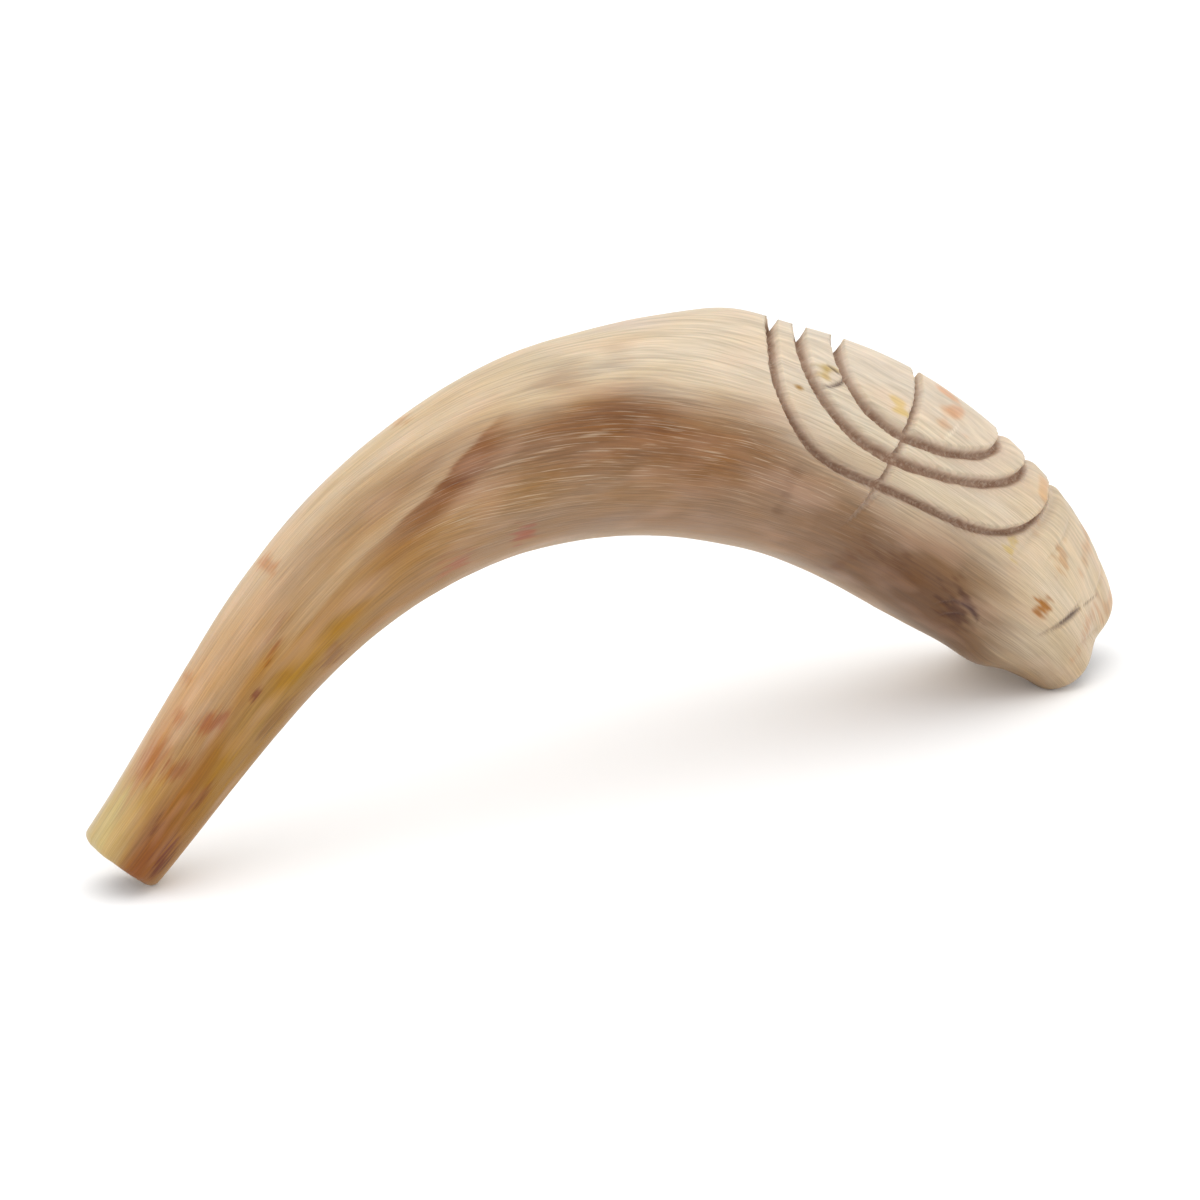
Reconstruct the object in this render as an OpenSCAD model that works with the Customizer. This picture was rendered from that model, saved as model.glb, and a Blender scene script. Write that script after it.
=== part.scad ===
// Shofar: a ram's horn with a drilled mouth end, a natural hollow and a carved, flared bell.
// The horn is one grown piece. It is modelled as stretches that meet face to face where its making changes.
// It stands as an arch along X, on the edge of its mouth end and on the rim of its bell. Millimetres, +Z up.
// A place on the horn is given by "along", the distance from the mouth end on the middle line, and
// "around", the angle about that line: 0 is the outer curve, 90 faces -Y and 180 is the inner curve.

/* [Horn shape] */
// Length of the middle line, from the mouth end to the bell rim
horn_length = 355; // [320:1:380]
// Sideways bow of the middle line at its centre
side_bow = 1.5; // [0:0.5:8]
// Evenly spaced stations from mouth to bell: slope in degrees, height, depth, corner strength in percent
station_0 = [46, 23, 22, 2]; // [-80:1:80]
station_1 = [50, 27.5, 24, 3]; // [-80:1:80]
station_2 = [45, 34, 29, 4]; // [-80:1:80]
station_3 = [30, 41.5, 35, 5]; // [-80:1:80]
station_4 = [14, 49.5, 42, 6]; // [-80:1:80]
station_5 = [-1, 57.5, 49, 6]; // [-80:1:80]
station_6 = [-17, 62, 53, 6]; // [-80:1:80]
station_7 = [-27, 63.5, 55, 6]; // [-80:1:80]
station_8 = [-42, 63, 56, 6]; // [-80:1:80]
station_9 = [-40, 58, 54, 8]; // [-80:1:80]
station_10 = [-60, 37, 43, 18]; // [-80:1:80]
// Turn of the three rounded corners at the mouth end, which fades out towards the bell
corner_turn = -40; // [-60:1:60]
// Swellings and hollows: along, around, reach, rise
swelling_before_carving = [212, 345, 12, 2]; // [-5:0.5:400]
dip_on_arch = [176, 352, 12, -0.8]; // [-5:0.1:400]
swelling_of_lip = [324, 144, 9, 2.5]; // [-5:0.5:400]
hollow_on_bell_side = [350, 80, 15, -1]; // [-5:0.5:400]
hollow_between_feet = [355, 180, 14, -4]; // [-5:0.5:400]
swelling_of_far_foot = [350, 232, 12, 3]; // [-5:0.5:400]

/* [Mouth end] */
// Rounding of the edge of the mouth end
mouth_round = 2.5; // [1:0.1:3]
// Depth of the cup that the lips press on
cup_depth = 12; // [8:0.5:16]
// Diameter of the cup at the mouth end
cup_d = 16; // [12:0.5:17]
// Diameter of the drilled bore
bore_d = 7; // [5:0.5:8]
// Distance along the horn at which the drilled bore breaks into the natural hollow
bore_end = 75; // [60:1:90]

/* [Natural hollow] */
// Hollow's share of the outer size where the bore meets it
hollow_start = 0.25; // [0.2:0.01:0.35]
// Hollow's share of the outer size in the body and under the carving
hollow_full = 0.8; // [0.6:0.01:0.82]
// Hollow's share of the outer size at the bell rim
hollow_rim = 0.74; // [0.6:0.01:0.76]
// Distance along the horn at which the hollow reaches its full share
hollow_full_at = 190; // [170:1:210]
// Rounding of the outer edge of the bell rim
rim_round = 3; // [1:0.1:3.5]

/* [Stretches] */
// Distance along the horn at which the neck ends
neck_end = 132; // [110:1:140]
// Distance along the horn at which the arch passes into the waist
arch_end = 168; // [150:1:180]
// Distance along the horn at which the carving starts
carving_start = 204; // [195:1:208]
// Distance along the horn at which the two carved stretches meet
carving_middle = 266; // [264:1:270]
// Distance along the horn at which the carving ends
carving_end = 325; // [324:1:328]
// Distance along the horn at which the bell rim starts
rim_start = 341; // [336:1:344]

/* [Carving] */
// Place of the stem on the outer curve, along the horn
stem_along = 262; // [258:1:266]
// Lean of the stem towards the mouth, per degree around
stem_lean = 0.08; // [0:0.01:0.15]
// Bend of the stem towards the mouth, per degree squared
stem_bend = 0.0007; // [0:0.0001:0.001]
// Angle around at which the stem ends, below the branches
stem_foot = 126; // [110:1:130]
// Inner pair: reach to the mouth and to the bell, angle where it crosses the stem, squareness of each side
inner_pair = [24, 31, 56, 2, 2]; // [1:0.5:130]
// Middle pair of branches
middle_pair = [35, 43, 71, 2, 2]; // [1:0.5:130]
// Outer pair of branches
outer_pair = [43, 54, 87, 2.5, 3.5]; // [1:0.5:130]
// Angle around at which the branches stand straight
branch_top = 12; // [0:1:20]
// Lean of the grooves towards the bell, per degree, where they pass over the crest
crest_lean = 0.28; // [0:0.01:0.4]
// Angles around at which the grooves end, over the crest: mouth side, stem, bell side
groove_ends = [-44, -36, -18]; // [-50:1:0]
// Width of a groove at the surface
groove_w = 3.6; // [2.5:0.1:4.5]
// Width of a groove at its floor
groove_floor_w = 2.2; // [1.5:0.1:3]
// Depth of a groove
groove_depth = 3.6; // [1.5:0.1:4]

/* [Resting pose] */
// Turn about X that sets both corners of the bell rim down
rest_roll = 2.60; // [-4:0.01:4]
// Turn about Y that sets the mouth end and the bell down together
rest_pitch = 0.34; // [-4:0.01:4]

/* [Hidden] */
STATIONS = [station_0, station_1, station_2, station_3, station_4, station_5,
    station_6, station_7, station_8, station_9, station_10];
FOLDS = [swelling_before_carving, dip_on_arch, swelling_of_lip, hollow_on_bell_side, hollow_between_feet,
    swelling_of_far_foot];
PAIRS = [inner_pair, middle_pair, outer_pair];
sides = 48;
path_steps = 355;
path_step = horn_length / path_steps;
plain_ring_gap = 6;
carved_ring_gap = 3.5;
branch_segments = 24;
stem_segments = 20;
arm_segments = 6;
crest_turn = 20;
burr_sides = 8;
burr_rise = 2;
cut_past = 1;

// Cubic B-spline through a list, held straight past its ends
function held(v, i) =
    i < 0 ? 2 * v[0] - v[1] :
    i >= len(v) ? 2 * v[len(v) - 1] - v[len(v) - 2] : v[i];
function spline(v, u) =
    let (i = min(floor(u), len(v) - 2), f = u - i)
    ((1 - f)^3 * held(v, i - 1) + (3 * f^3 - 6 * f^2 + 4) * held(v, i)
    + (-3 * f^3 + 3 * f^2 + 3 * f + 1) * held(v, i + 1) + f^3 * held(v, i + 2)) / 6;
function clamped(x) = max(0, min(1, x));
function smooth(x) = let (t = clamped(x)) t * t * (3 - 2 * t);
function mix(a, b, t) = a + (b - a) * t;
function unit(v) = v / norm(v);

// Middle line, found by adding up the slope
function station(along) = spline(STATIONS, clamped(along / horn_length) * (len(STATIONS) - 1));
function slope(along) = station(along)[0];
function heading(along) = [cos(slope(along)), 0, sin(slope(along))];
path = [for (i = 0, p = [0, 0, 0]; i <= path_steps;
    p = p + heading((i + 0.5) * path_step) * path_step, i = i + 1) p];
function centre(along) =
    let (u = clamped(along / horn_length) * path_steps, i = min(floor(u), path_steps - 1))
    mix(path[i], path[i + 1], u - i) + [0, side_bow * sin(180 * along / horn_length), 0];
function tangent(along) =
    unit(heading(along) + [0, side_bow * PI / horn_length * cos(180 * along / horn_length), 0]);
function outward(along) = [-sin(slope(along)), 0, cos(slope(along))];
function sideward(along) = cross(tangent(along), outward(along));

// Outer skin: an oval with three soft corners, rounded ends and a few swellings
function end_round(dist, r) = let (q = 1 - clamped(dist / r)) r * (1 - sqrt(1 - q * q));
function turn_at(along) = corner_turn * (1 - smooth((along / horn_length - 0.2) / 0.8));
function fold_rise(along, around, r) = [for (f = FOLDS)
    let (arc = ((around - f[1] + 540) % 360 - 180) * PI / 180 * r)
    f[3] * exp(-(along - f[0])^2 / f[2]^2 - arc^2 / f[2]^2)] * [for (f = FOLDS) 1];
function oval(along, around) =
    let (s = station(along), k = 1 + s[3] / 100 * cos(3 * (around - turn_at(along))))
    [s[1] / 2 * cos(around) * k, s[2] / 2 * sin(around) * k];
function placed(along, flat) = centre(along) + outward(along) * flat[0] + sideward(along) * flat[1];
function outer(along, around) =
    let (flat = oval(along, around), r = norm(flat),
        cut = end_round(along, mouth_round) + end_round(horn_length - along, rim_round))
    placed(along, flat * (r + fold_rise(along, around, r) - cut) / r);

// Inner skin: the same oval at a smaller share, with the same swellings
function hollow_share(along) =
    mix(mix(hollow_start, hollow_full, smooth((along - bore_end) / (hollow_full_at - bore_end))),
        hollow_rim, smooth((along - carving_end) / (horn_length - carving_end)));
function inner(along, around) =
    let (flat = oval(along, around), r = norm(flat))
    placed(along, flat * (hollow_share(along) + fold_rise(along, around, r) / r));

// Rings between two places, with extra ones over a rounded end
function ring_places(from, to, gap) =
    let (n = ceil((to - from) / gap)) [for (i = [0:n]) mix(from, to, i / n)];
function outer_ring(along) = [for (i = [0:sides - 1]) outer(along, i * 360 / sides)];
function inner_ring(along) = [for (i = [0:sides - 1]) inner(along, i * 360 / sides)];
function round_ring(along, r) =
    [for (i = [0:sides - 1]) placed(along, r * [cos(i * 360 / sides), sin(i * 360 / sides)])];
function strip(a, b) = [for (i = [0:sides - 1]) let (j = (i + 1) % sides)
    each [[a + i, b + i, b + j], [a + i, b + j, a + j]]];

// Resting pose: the horn is turned about its middle, then set down with its box centred on the origin
middle = centre(horn_length / 2);
function rolled(p) =
    [p[0], p[1] * cos(rest_roll) - p[2] * sin(rest_roll), p[1] * sin(rest_roll) + p[2] * cos(rest_roll)];
function pitched(p) =
    [p[0] * cos(rest_pitch) + p[2] * sin(rest_pitch), p[1], p[2] * cos(rest_pitch) - p[0] * sin(rest_pitch)];
rest_rings = concat([0, mouth_round / 3, mouth_round], ring_places(plain_ring_gap, horn_length, plain_ring_gap),
    [horn_length - rim_round / 2, horn_length - rim_round / 4, horn_length]);
rest_points = [for (s = rest_rings, p = outer_ring(s)) pitched(rolled(p - middle))];
function axis_values(k) = [for (p = rest_points) p[k]];
rest_shift = [-(min(axis_values(0)) + max(axis_values(0))) / 2,
    -(min(axis_values(1)) + max(axis_values(1))) / 2, -min(axis_values(2))];

module at_rest() {
    translate(rest_shift) rotate([0, rest_pitch, 0]) rotate([rest_roll, 0, 0]) translate(-middle) children();
}

module solid_stretch(places) {
    n = len(places);
    points = [for (s = places) each outer_ring(s)];
    walls = [for (k = [0:n - 2]) each strip(k * sides, (k + 1) * sides)];
    first_cap = [for (i = [0:sides - 1]) i];
    last_cap = [for (i = [sides - 1:-1:0]) (n - 1) * sides + i];
    polyhedron(points, concat(walls, [first_cap, last_cap]));
}

module hollow_stretch(places, inside) {
    n = len(places);
    outside = [for (s = places) each outer_ring(s)];
    m = n * sides;
    outer_walls = [for (k = [0:n - 2]) each strip(k * sides, (k + 1) * sides)];
    inner_walls = [for (k = [0:n - 2]) each strip(m + (k + 1) * sides, m + k * sides)];
    first_face = strip(m, 0);
    last_face = strip((n - 1) * sides, m + (n - 1) * sides);
    polyhedron(concat(outside, inside), concat(outer_walls, inner_walls, first_face, last_face));
}

// A stretch around the natural hollow
module natural_stretch(places) {
    hollow_stretch(places, [for (s = places) each inner_ring(s)]);
}

// Stands along the line from one point towards another
module along_line(from, to) {
    d = unit(to - from);
    translate(from) rotate([0, acos(d[2]), atan2(d[1], d[0])]) children();
}

// The lips' end of the horn: a rounded edge and a cup that narrows to the bore
module mouth_cup() {
    places = concat([for (q = [0, 0.12, 0.35, 0.65, 1]) mouth_round * q],
        ring_places(cup_depth / 2, cup_depth, plain_ring_gap));
    cup = [for (s = places) each round_ring(s, mix(cup_d, bore_d, s / cup_depth) / 2)];
    color("#C2A877") at_rest() hollow_stretch(places, cup);
}

// The solid tip of the horn, drilled straight through to the natural hollow
module mouthpiece() {
    color("#B8935A") at_rest() difference() {
        solid_stretch(ring_places(cup_depth, bore_end, plain_ring_gap * 1.5));
        along_line(centre(cup_depth) + unit(centre(cup_depth) - centre(bore_end)) * cut_past, centre(bore_end))
            cylinder(h = norm(centre(bore_end) - centre(cup_depth)) + 2 * cut_past, d = bore_d, $fn = 64);
    }
}

// The thick-walled neck, where the hollow opens out
module neck() {
    color("#C9A77C") at_rest() natural_stretch(ring_places(bore_end, neck_end, plain_ring_gap));
}

// The first half of the arch, where the wall thins
module arch() {
    color("#D3B48A") at_rest() natural_stretch(ring_places(neck_end, arch_end, plain_ring_gap));
}

// The plain second half of the arch, before the carving
module waist() {
    color("#DCC3A0") at_rest() natural_stretch(ring_places(arch_end, carving_start, plain_ring_gap));
}

// Carving: a stem and three pairs of branches, cut with a tapered burr
function crest_shift(around) =
    crest_lean * crest_turn * (sqrt(1 + (max(0, branch_top - around) / crest_turn)^2) - 1);
function stem_place(around) =
    [stem_along - stem_lean * around - stem_bend * around * abs(around) + crest_shift(around), around];
function branch_place(pair, swing) =
    let (side = swing < 0 ? -1 : 1, power = 2 / (swing < 0 ? pair[3] : pair[4]),
        reach = side * (swing < 0 ? pair[0] : pair[1]))
    stem_place(mix(branch_top, pair[2], abs(cos(swing))^power)) + [reach * abs(sin(swing))^power, 0];
function arm_place(end, reach, i) = stem_place(mix(end, branch_top, i / arm_segments)) + [reach, 0];
function pair_route(pair) = concat([for (i = [0:arm_segments - 1]) arm_place(groove_ends[0], -pair[0], i)],
    [for (i = [0:branch_segments]) branch_place(pair, mix(-90, 90, i / branch_segments))],
    [for (i = [arm_segments - 1:-1:0]) arm_place(groove_ends[2], pair[1], i)]);
stem_route = [for (i = [0:stem_segments]) stem_place(mix(groove_ends[1], stem_foot, i / stem_segments))];

module burr(place) {
    p = outer(place[0], place[1]);
    along_line(p, p + (p - centre(place[0])))
        translate([0, 0, -groove_depth])
            cylinder(h = groove_depth + burr_rise, d1 = groove_floor_w, d2 = groove_w, $fn = burr_sides);
}

module groove(route) {
    for (i = [0:len(route) - 2])
        hull() {
            burr(route[i]);
            burr(route[i + 1]);
        }
}

module carved_stretch(from, to) {
    difference() {
        natural_stretch(ring_places(from, to, carved_ring_gap));
        for (pair = PAIRS) groove(pair_route(pair));
        groove(stem_route);
    }
}

// The carved stretch with the stem and the mouth side of the branches
module carved_upper() {
    color("#E0C9A4") at_rest() carved_stretch(carving_start, carving_middle);
}

// The carved stretch with the bell side of the branches
module carved_lower() {
    color("#E3CCA8") at_rest() carved_stretch(carving_middle, carving_end);
}

// The bell, behind its rim
module bell() {
    color("#D9BC93") at_rest() natural_stretch(ring_places(carving_end, rim_start, plain_ring_gap));
}

// The sawn and rounded rim of the bell
module bell_rim() {
    places = concat(ring_places(rim_start, horn_length - rim_round, plain_ring_gap),
        [for (q = [0.6, 0.3, 0.1, 0]) horn_length - rim_round * q]);
    color("#CFAE83") at_rest() natural_stretch(places);
}

mouth_cup();
mouthpiece();
neck();
arch();
waist();
carved_upper();
carved_lower();
bell();
bell_rim();
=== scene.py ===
"""Ram's horn shofar: one polished keratin horn, sawn and drilled at the mouth end, carved before the bell."""

import math

import bpy
import numpy as np
from mathutils import Matrix, Vector


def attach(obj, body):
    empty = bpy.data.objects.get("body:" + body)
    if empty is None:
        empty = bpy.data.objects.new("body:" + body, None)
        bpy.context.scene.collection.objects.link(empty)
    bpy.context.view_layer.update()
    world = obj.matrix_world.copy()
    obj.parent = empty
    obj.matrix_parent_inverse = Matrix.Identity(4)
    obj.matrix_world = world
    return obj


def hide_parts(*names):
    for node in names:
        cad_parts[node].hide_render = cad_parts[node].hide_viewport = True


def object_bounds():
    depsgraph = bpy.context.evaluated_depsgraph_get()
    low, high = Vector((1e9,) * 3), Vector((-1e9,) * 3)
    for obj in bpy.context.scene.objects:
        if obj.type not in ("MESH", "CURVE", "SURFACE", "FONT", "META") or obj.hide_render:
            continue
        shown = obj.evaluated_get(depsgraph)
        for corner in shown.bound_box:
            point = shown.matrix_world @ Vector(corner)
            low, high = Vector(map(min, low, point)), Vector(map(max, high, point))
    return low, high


bl_info = {
    "name": "Ram's Horn Shofar",
    "version": (1, 0, 0),
    "blender": (4, 5, 0),
    "location": "View3D > Sidebar > Shofar",
    "description": "Makes a carved ram's horn shofar on a pale floor",
    "category": "Object",
}

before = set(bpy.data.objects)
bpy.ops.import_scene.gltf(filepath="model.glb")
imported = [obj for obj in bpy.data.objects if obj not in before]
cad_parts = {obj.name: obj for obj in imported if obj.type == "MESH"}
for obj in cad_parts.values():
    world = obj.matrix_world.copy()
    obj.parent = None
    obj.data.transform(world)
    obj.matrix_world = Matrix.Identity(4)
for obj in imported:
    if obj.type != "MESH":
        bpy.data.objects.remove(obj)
CAD_LOW, CAD_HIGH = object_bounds()
NODES = sorted(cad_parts)
MM = 0.001

# A place on the horn is "along", millimetres from the mouth end on the middle line, and "around", degrees
# about that line: 0 is the outer curve, 90 faces -Y and 180 is the inner curve.
# Stations from mouth to bell: slope in degrees, height, depth, corner strength in percent, as in the CAD
STATIONS = (
    (46, 23, 22, 2),
    (50, 27.5, 24, 3),
    (45, 34, 29, 4),
    (30, 41.5, 35, 5),
    (14, 49.5, 42, 6),
    (-1, 57.5, 49, 6),
    (-17, 62, 53, 6),
    (-27, 63.5, 55, 6),
    (-42, 63, 56, 6),
    (-40, 58, 54, 8),
    (-60, 37, 43, 18),
)
HORN_LENGTH = 355.0
SIDE_BOW = 1.5
CORNER_TURN = -40.0
REST_ROLL = math.radians(2.60)
REST_PITCH = math.radians(0.34)
# Swellings and hollows: along, around, reach, rise
SWELLINGS = (
    (212, 345, 12, 2.0),
    (176, 352, 12, -0.8),
    (324, 144, 9, 2.5),
    (350, 80, 15, -1.0),
    (355, 180, 14, -4.0),
    (350, 232, 12, 3.0),
)
MOUTH_ROUND = 2.5
RIM_ROUND = 3.0
CUP_DEPTH = 12.0
CUP_R = 8.0
BORE_R = 3.5
BORE_END = 75.0
HOLLOW = (0.25, 0.8, 0.74)
HOLLOW_FULL_AT = 190.0
CARVING_END = 325.0

# Carving: reach to the mouth and to the bell, angle where the pair crosses the stem, squareness of each side
PAIRS = {"inner": (24, 31, 56, 2, 2), "middle": (35, 43, 71, 2, 2), "outer": (43, 54, 87, 2.5, 3.5)}
STEM_ALONG = 262.0
STEM_LEAN = 0.08
STEM_BEND = 0.0007
STEM_FOOT = 126.0
BRANCH_TOP = 12.0
CREST_LEAN = 0.28
CREST_TURN = 20.0
GROOVE_ENDS = (-44.0, -36.0, -18.0)  # mouth side, stem, bell side


# ---------------------------------------------------------------------------------------------- horn shape
def spline(values, u):
    """Uniform cubic B-spline through rows of values, held straight past its ends."""
    v = np.asarray(values, float)
    p = np.concatenate([[2 * v[0] - v[1]], v, [2 * v[-1] - v[-2]]])
    i = np.clip(np.floor(u).astype(int), 0, len(v) - 2)
    f = (u - i)[..., None]
    return (
        (1 - f) ** 3 * p[i]
        + (3 * f**3 - 6 * f**2 + 4) * p[i + 1]
        + (-3 * f**3 + 3 * f**2 + 3 * f + 1) * p[i + 2]
        + f**3 * p[i + 3]
    ) / 6


def smooth(x):
    t = np.clip(x, 0, 1)
    return t * t * (3 - 2 * t)


def station(along):
    return spline(STATIONS, np.clip(along / HORN_LENGTH, 0, 1) * (len(STATIONS) - 1))


def middle_line():
    """Places of the middle line at every millimetre, found by adding up the slope."""
    steps = int(HORN_LENGTH)
    at = (np.arange(steps) + 0.5) * HORN_LENGTH / steps
    slope = np.radians(station(at)[:, 0])
    step = np.stack([np.cos(slope), 0 * slope, np.sin(slope)], 1) * HORN_LENGTH / steps
    return np.concatenate([np.zeros((1, 3)), np.cumsum(step, 0)])


LINE = middle_line()


def axes(along):
    """Centre, outward direction and sideward direction of the section at each place."""
    at = np.linspace(0, HORN_LENGTH, len(LINE))
    centre = np.stack([np.interp(along, at, LINE[:, k]) for k in range(3)], -1)
    centre[..., 1] += SIDE_BOW * np.sin(np.pi * along / HORN_LENGTH)
    slope = np.radians(station(along)[..., 0])
    lean = SIDE_BOW * np.pi / HORN_LENGTH * np.cos(np.pi * along / HORN_LENGTH)
    tangent = np.stack([np.cos(slope), lean, np.sin(slope)], -1)
    tangent /= np.linalg.norm(tangent, axis=-1, keepdims=True)
    outward = np.stack([-np.sin(slope), 0 * slope, np.cos(slope)], -1)
    return centre, outward, np.cross(tangent, outward)


def oval(along, around):
    s = station(along)
    turn = CORNER_TURN * (1 - smooth((along / HORN_LENGTH - 0.2) / 0.8))
    corner = 1 + s[..., 3] / 100 * np.cos(np.radians(3 * (around - turn)))
    a = np.radians(around)
    return s[..., 1] / 2 * np.cos(a) * corner, s[..., 2] / 2 * np.sin(a) * corner


def swelling(along, around, r):
    rise = 0
    for at, angle, reach, height in SWELLINGS:
        arc = np.radians((around - angle + 180) % 360 - 180) * r
        rise = rise + height * np.exp(-(((along - at) / reach) ** 2) - (arc / reach) ** 2)
    return rise


def end_round(distance, r):
    q = 1 - np.clip(distance / r, 0, 1)
    return r * (1 - np.sqrt(1 - q * q))


def placed(along, out, side):
    centre, outward, sideward = axes(along)
    return centre + outward * out[..., None] + sideward * side[..., None]


def skin(along, around):
    """Places on the outer skin, before its resting pose."""
    along, around = np.broadcast_arrays(np.asarray(along, float), np.asarray(around, float))
    out, side = oval(along, around)
    r = np.hypot(out, side)
    cut = end_round(along, MOUTH_ROUND) + end_round(HORN_LENGTH - along, RIM_ROUND)
    grow = (r + swelling(along, around, r) - cut) / r
    return placed(along, out * grow, side * grow)


def lining(along, around):
    """Places on the wall of the cup, the drilled bore and the natural hollow."""
    along, around = np.broadcast_arrays(np.asarray(along, float), np.asarray(around, float))
    out, side = oval(along, around)
    r = np.hypot(out, side)
    share = HOLLOW[0] + (HOLLOW[1] - HOLLOW[0]) * smooth((along - BORE_END) / (HOLLOW_FULL_AT - BORE_END))
    share += (HOLLOW[2] - share) * smooth((along - CARVING_END) / (HORN_LENGTH - CARVING_END))
    natural = r * share + swelling(along, around, r)
    drilled = BORE_R + (CUP_R - BORE_R) * np.clip(1 - along / CUP_DEPTH, 0, 1)
    blend = smooth((along - BORE_END + 3) / 6)
    radius = drilled + (natural - drilled) * blend
    return placed(along, out * radius / r, side * radius / r)


def rested(points):
    """Points turned into the resting pose."""
    c, s = math.cos(REST_ROLL), math.sin(REST_ROLL)
    x, y, z = points[..., 0], points[..., 1] * c - points[..., 2] * s, points[..., 1] * s + points[..., 2] * c
    c, s = math.cos(REST_PITCH), math.sin(REST_PITCH)
    return np.stack([x * c + z * s, y, z * c - x * s], -1)


def rest_shift():
    """The move that sets the turned skin into the CAD box, on the resting surface."""
    points = rested(skin(np.linspace(0, HORN_LENGTH, 356)[:, None], np.arange(0, 360, 7.5)[None]))
    low = points.reshape(-1, 3).min(0)
    high = points.reshape(-1, 3).max(0)
    box_low, box_high = np.array(CAD_LOW) / MM, np.array(CAD_HIGH) / MM
    return np.array([*((box_low + box_high - low - high)[:2] / 2), box_low[2] - low[2]])


SHIFT = rest_shift()


def on_part(points):
    """Millimetres before the resting pose to metres in the part's frame."""
    return (rested(points) + SHIFT) * MM


# -------------------------------------------------------------------------------------------------- meshes
def closed_tube(name, rings, close_loop=True):
    """A mesh of rings of equal length, joined in order and back to the first."""
    count, sides = rings.shape[:2]
    mesh = bpy.data.meshes.new(name)
    i, j = np.meshgrid(np.arange(count), np.arange(sides), indexing="ij")
    i2, j2 = (i + 1) % count, (j + 1) % sides
    quads = np.stack([i * sides + j, i * sides + j2, i2 * sides + j2, i2 * sides + j], -1).reshape(-1, 4)
    mesh.from_pydata(rings.reshape(-1, 3).tolist(), [], quads.tolist())
    return mesh


def spaced(stretches):
    """Values over stretches of (from, to, gap), each end kept once."""
    parts = [np.linspace(a, b, max(2, round(abs(b - a) / gap) + 1))[:-1] for a, b, gap in stretches]
    return np.concatenate(parts + [[stretches[-1][1]]])


def add_attribute(mesh, name, kind, values):
    attribute = mesh.attributes.new(name, kind, "POINT")
    key = {"FLOAT": "value", "FLOAT_VECTOR": "vector", "FLOAT_COLOR": "color"}[kind]
    attribute.data.foreach_set(key, np.ascontiguousarray(values, dtype=np.float32).ravel())


# --------------------------------------------------------------------------------------------------- tones
def linear(hex_colour):
    """sRGB hex to linear RGBA."""
    channels = [int(hex_colour[k : k + 2], 16) / 255 for k in (1, 3, 5)]
    return (*[c / 12.92 if c <= 0.04045 else ((c + 0.055) / 1.055) ** 2.4 for c in channels], 1.0)


# Broad tones of the horn, laid over one another: along, around, half length, half width in degrees,
# slant in degrees around per millimetre, colour, strength, softness of the edge
BASE_TONE = "#D6C4A8"
TONE_STRENGTH = 0.80
TONE_DEPTH = 1.16
# Paler on top and darker on the back and underside: partly the horn's own colour, partly painted light on top
# and painted shade underneath.
TONES = (
    # back and underside, darker: partly the horn's own brown and partly painted shade underneath
    (200, 150, 170, 62, 0.0, "#A98C6E", 0.85, 0.8),
    (200, 215, 170, 45, 0.0, "#C4A683", 0.60, 0.9),
    (60, 190, 90, 80, 0.0, "#B08F5C", 0.80, 0.8),
    # mouth end and neck
    (45, 60, 90, 60, 0.1, "#BE9A6C", 0.80, 0.8),
    (62, 10, 62, 30, 0.0, "#D0AC88", 0.85, 0.7),
    (0, 22, 26, 42, 0.0, "#CDBA88", 0.90, 0.7),
    (22, 100, 62, 46, 0.0, "#A3722C", 0.95, 0.7),
    (4, 94, 26, 28, 0.0, "#935310", 0.90, 0.8),
    (27, 20, 11, 22, 0.0, "#B78458", 0.80, 0.8),
    (100, 108, 58, 28, 0.1, "#A87F4C", 0.85, 0.8),
    (108, 2, 40, 26, 0.0, "#D5C2A6", 0.70, 0.8),
    (112, 40, 34, 20, 0.2, "#B29574", 0.75, 0.8),
    # arch: tan wedge of fibres and the brown band that slants down towards the bell
    (160, 112, 55, 26, 0.1, "#A88A6A", 0.80, 0.8),
    (235, 100, 110, 24, 0.30, "#8E6A48", 0.85, 0.8),
    (176, 66, 46, 22, 0.34, "#8A5E34", 0.90, 0.8),
    (214, 128, 60, 24, 0.1, "#9C7D62", 0.75, 0.8),
    (290, 128, 42, 34, 0.0, "#775537", 0.90, 0.8),
    (163, 22, 7, 9, 0.3, "#A98A6C", 0.60, 0.9),
    (179, 18, 4, 12, 0.2, "#AE8F6C", 0.60, 0.9),
    (174, 62, 12, 8, 0.4, "#7C5024", 0.60, 0.9),
    (190, -4, 7, 13, 0.3, "#C4ACA4", 0.70, 0.9),
    # carved wall and bell
    (202, 18, 24, 30, 0.2, "#DCCCB4", 0.90, 0.8),
    (254, 30, 56, 50, 0.06, "#DFD1BE", 0.95, 0.7),
    (262, 66, 40, 22, 0.1, "#D6C8B2", 0.80, 0.8),
    (300, 30, 26, 40, 0.0, "#DCCAB2", 0.70, 0.8),
    (338, 55, 34, 66, 0.0, "#D2BC9E", 0.90, 0.6),
    (338, 110, 18, 20, 0.0, "#C8B79E", 0.80, 0.8),
    (325, 52, 24, 56, 0.0, "#DFD0B8", 0.55, 0.8),
    (38, 112, 34, 24, 0.0, "#AC8A42", 0.50, 0.8),
    (66, 92, 30, 16, 0.2, "#B08E48", 0.40, 0.8),
)
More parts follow.
